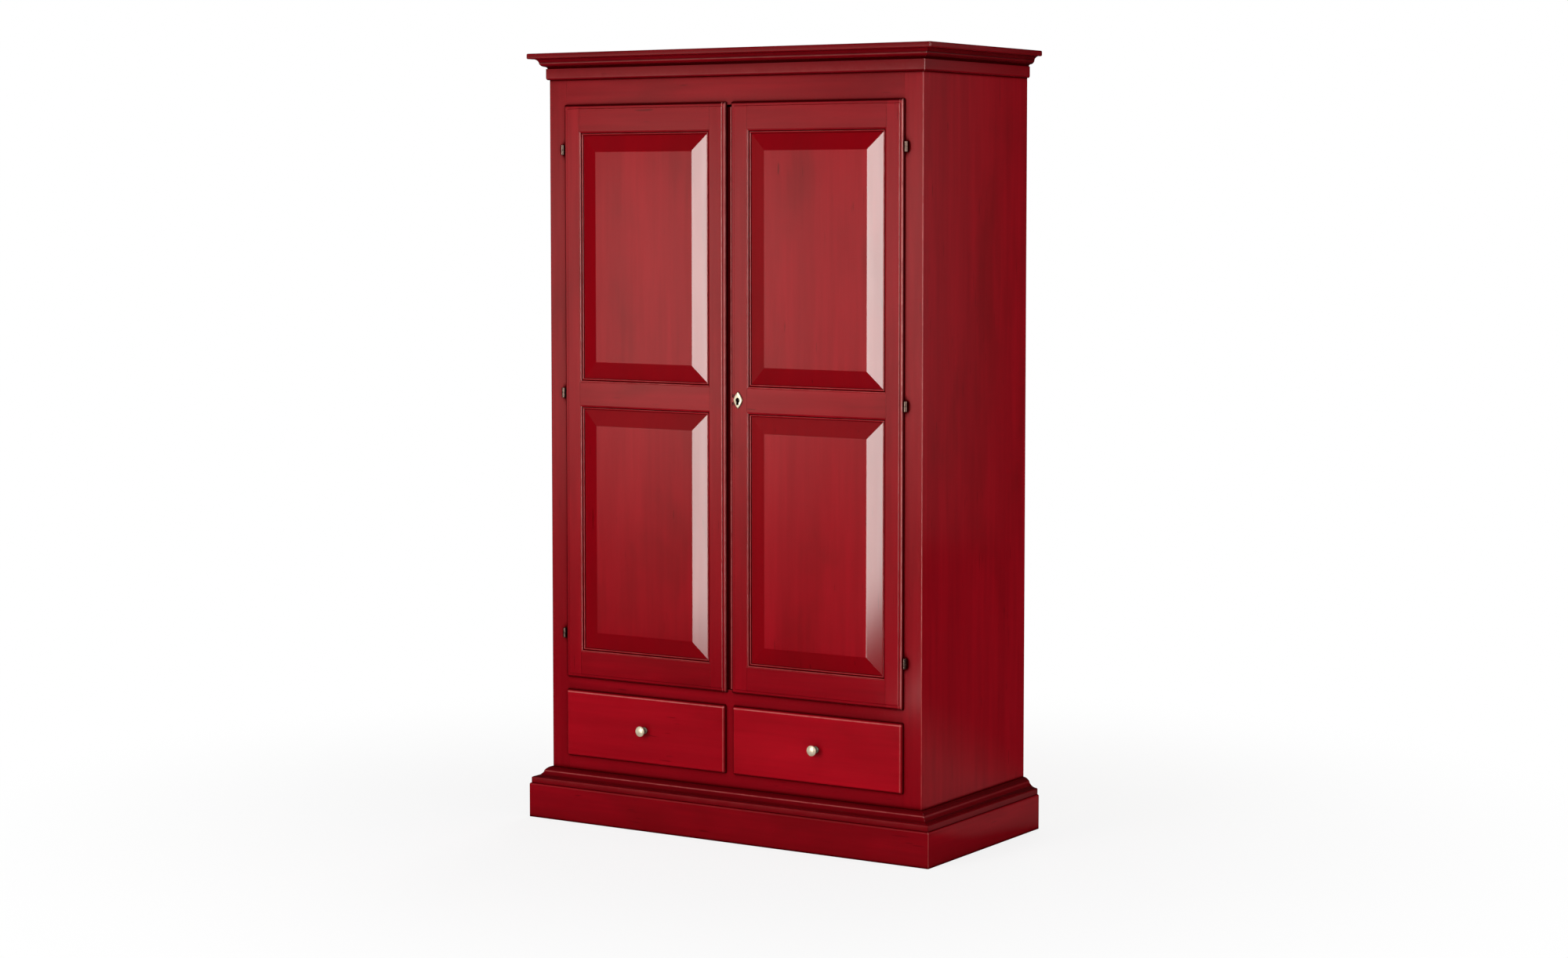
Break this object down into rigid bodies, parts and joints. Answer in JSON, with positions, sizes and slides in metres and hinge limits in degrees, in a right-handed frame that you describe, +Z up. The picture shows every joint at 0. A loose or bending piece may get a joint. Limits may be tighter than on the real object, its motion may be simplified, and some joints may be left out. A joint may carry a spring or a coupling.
{
  "type": "wardrobe",
  "caption": "Free-standing wardrobe in red-stained softwood: framed doors with raised panels over lipped drawers, moulded cornice and plinth, brass knobs and key escutcheon",
  "frame": {"origin": "on the floor under the middle of the cabinet's bounding box", "axes": "+Z up, the doors and drawers face -Y, +X is to the right of a person who faces the doors"},
  "size_m": [1.21, 0.575, 2],
  "materials": {
    "stained_wood": "softwood under a deep red translucent stain and a rubbed semi-gloss varnish, arrises worn lighter",
    "bare_wood": "planed softwood under a thin clear coat",
    "antique_brass": "aged brass, polished on its high spots and brown in its hollows",
    "dark_bronze": "dark bronze plating with a soft shine",
    "iron": "oiled dark iron"
  },
  "bodies": {
    "cabinet": {"plinth_front": "stained_wood", "plinth_sides": "stained_wood", "plinth_cap": "stained_wood", "cornice_board": "stained_wood", "crown_moulding": "stained_wood", "frieze_band": "stained_wood", "bottom_rail": "stained_wood", "middle_rail": "stained_wood", "top_rail": "stained_wood", "drawer_muntin": "stained_wood", "right_front_stile": "stained_wood", "left_front_stile": "stained_wood", "right_side_panel": "stained_wood", "left_side_panel": "stained_wood", "plinth_battens": "bare_wood", "back_panel": "bare_wood", "bottom_board": "bare_wood", "carcass_top": "bare_wood", "compartment_floor": "bare_wood", "drawer_divider": "bare_wood", "drawer_guides": "bare_wood", "hat_shelf": "bare_wood", "shelf_battens": "bare_wood", "clothes_rail": "bare_wood", "hinge_pins": "dark_bronze", "rail_sockets": "iron"},
    "left_door": {"left_hinge_stile": "stained_wood", "left_meeting_stile": "stained_wood", "left_door_top_rail": "stained_wood", "left_door_middle_rail": "stained_wood", "left_door_bottom_rail": "stained_wood", "left_upper_panel": "stained_wood", "left_lower_panel": "stained_wood", "meeting_strip": "stained_wood", "left_hinge_sleeves": "dark_bronze", "bolt_guides": "iron"},
    "right_door": {"right_hinge_stile": "stained_wood", "right_meeting_stile": "stained_wood", "right_door_top_rail": "stained_wood", "right_door_middle_rail": "stained_wood", "right_door_bottom_rail": "stained_wood", "right_upper_panel": "stained_wood", "right_lower_panel": "stained_wood", "right_hinge_sleeves": "dark_bronze", "lock_case": "iron", "key_escutcheon": "antique_brass"},
    "left_drawer": {"left_drawer_front": "stained_wood", "left_drawer_sides": "bare_wood", "left_drawer_back": "bare_wood", "left_drawer_bottom": "bare_wood", "left_drawer_knob": "antique_brass"},
    "right_drawer": {"right_drawer_front": "stained_wood", "right_drawer_sides": "bare_wood", "right_drawer_back": "bare_wood", "right_drawer_bottom": "bare_wood", "right_drawer_knob": "antique_brass"},
    "lock_bolt": {"lock_bolt": "iron"},
    "upper_bolt": {"upper_bolt": "iron"},
    "lower_bolt": {"lower_bolt": "iron"}
  },
  "joints": [
    {"name": "left_door_hinge", "type": "hinge", "parent": "cabinet", "child": "left_door", "pos_m": [-0.5145, -0.2485, 1.121], "axis": [0, 0, -1], "range_deg": [0, 170]},
    {"name": "right_door_hinge", "type": "hinge", "parent": "cabinet", "child": "right_door", "pos_m": [0.5145, -0.2485, 1.121], "axis": [0, 0, 1], "range_deg": [0, 170]},
    {"name": "left_drawer_slide", "type": "slide", "parent": "cabinet", "child": "left_drawer", "axis": [0, -1, 0], "range_m": [0, 0.36]},
    {"name": "right_drawer_slide", "type": "slide", "parent": "cabinet", "child": "right_drawer", "axis": [0, -1, 0], "range_m": [0, 0.36]},
    {"name": "lock_bolt_slide", "type": "slide", "parent": "right_door", "child": "lock_bolt", "axis": [-1, 0, 0], "range_m": [0, 0.018]},
    {"name": "upper_bolt_slide", "type": "slide", "parent": "left_door", "child": "upper_bolt", "axis": [0, 0, 1], "range_m": [0, 0.02]},
    {"name": "lower_bolt_slide", "type": "slide", "parent": "left_door", "child": "lower_bolt", "axis": [0, 0, -1], "range_m": [0, 0.02]}
  ]
}
